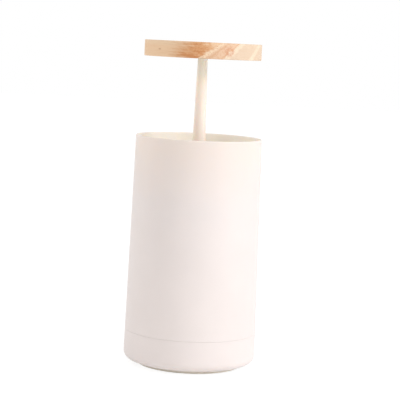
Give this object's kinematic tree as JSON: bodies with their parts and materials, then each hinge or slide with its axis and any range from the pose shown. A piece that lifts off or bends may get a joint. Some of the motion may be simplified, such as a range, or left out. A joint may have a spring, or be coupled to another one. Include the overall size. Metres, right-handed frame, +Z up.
{
  "type": "toothpick dispenser",
  "caption": "Press-to-open toothpick dispenser: tapered white cup, wooden disc lid on a rod that a spring lifts, with the tray the picks stand on, and a push-push latch.",
  "frame": {"origin": "centre of the foot ring, in the plane of the table it stands on", "axes": "+Z up along the axis of the body, rod and lid; +X through one of the shell's guide ribs; +Y square to both"},
  "size_m": [0.0638, 0.0638, 0.1558],
  "materials": {
    "body_plastic": "satin moulded ABS",
    "rod_plastic": "satin moulded ABS",
    "tray_plastic": "satin moulded ABS",
    "lid_pine": "turned pine, fine oil finish",
    "foot_silicone": "matte silicone",
    "stop_silicone": "matte silicone",
    "latch_acetal": "natural acetal",
    "rotor_acetal": "dyed acetal",
    "spring_steel": "drawn stainless wire",
    "plated_steel": "zinc plated",
    "ballast_steel": "turned, zinc plated"
  },
  "bodies": {
    "housing": {"body_shell": "body_plastic", "base_cap": "body_plastic", "foot_ring": "foot_silicone", "base_weight": "ballast_steel", "base_screws": "plated_steel", "stop_ring": "stop_silicone", "latch_sleeve": "latch_acetal", "latch_cam_ring": "latch_acetal", "latch_screws": "plated_steel", "spring_washer": "plated_steel", "main_spring": "spring_steel"},
    "lift": {"lid_disc": "lid_pine", "lid_stud": "plated_steel", "lift_rod": "rod_plastic", "pick_tray": "tray_plastic", "tray_clip": "spring_steel", "rotor_screw": "plated_steel", "rotor_washer": "plated_steel"},
    "rotor": {"latch_rotor": "rotor_acetal"}
  },
  "joints": [
    {"name": "lid_lift", "type": "slide", "parent": "housing", "child": "lift", "axis": [0, 0, 1], "range_m": [-0.0475, 0], "stiffness_N_per_m": 67, "springref_m": 0.018, "deforming": ["main_spring"]},
    {"name": "rotor_turn", "type": "hinge", "parent": "lift", "child": "rotor", "pos_m": [0, 0, 0], "axis": [0, 0, 1], "continuous": true}
  ]
}
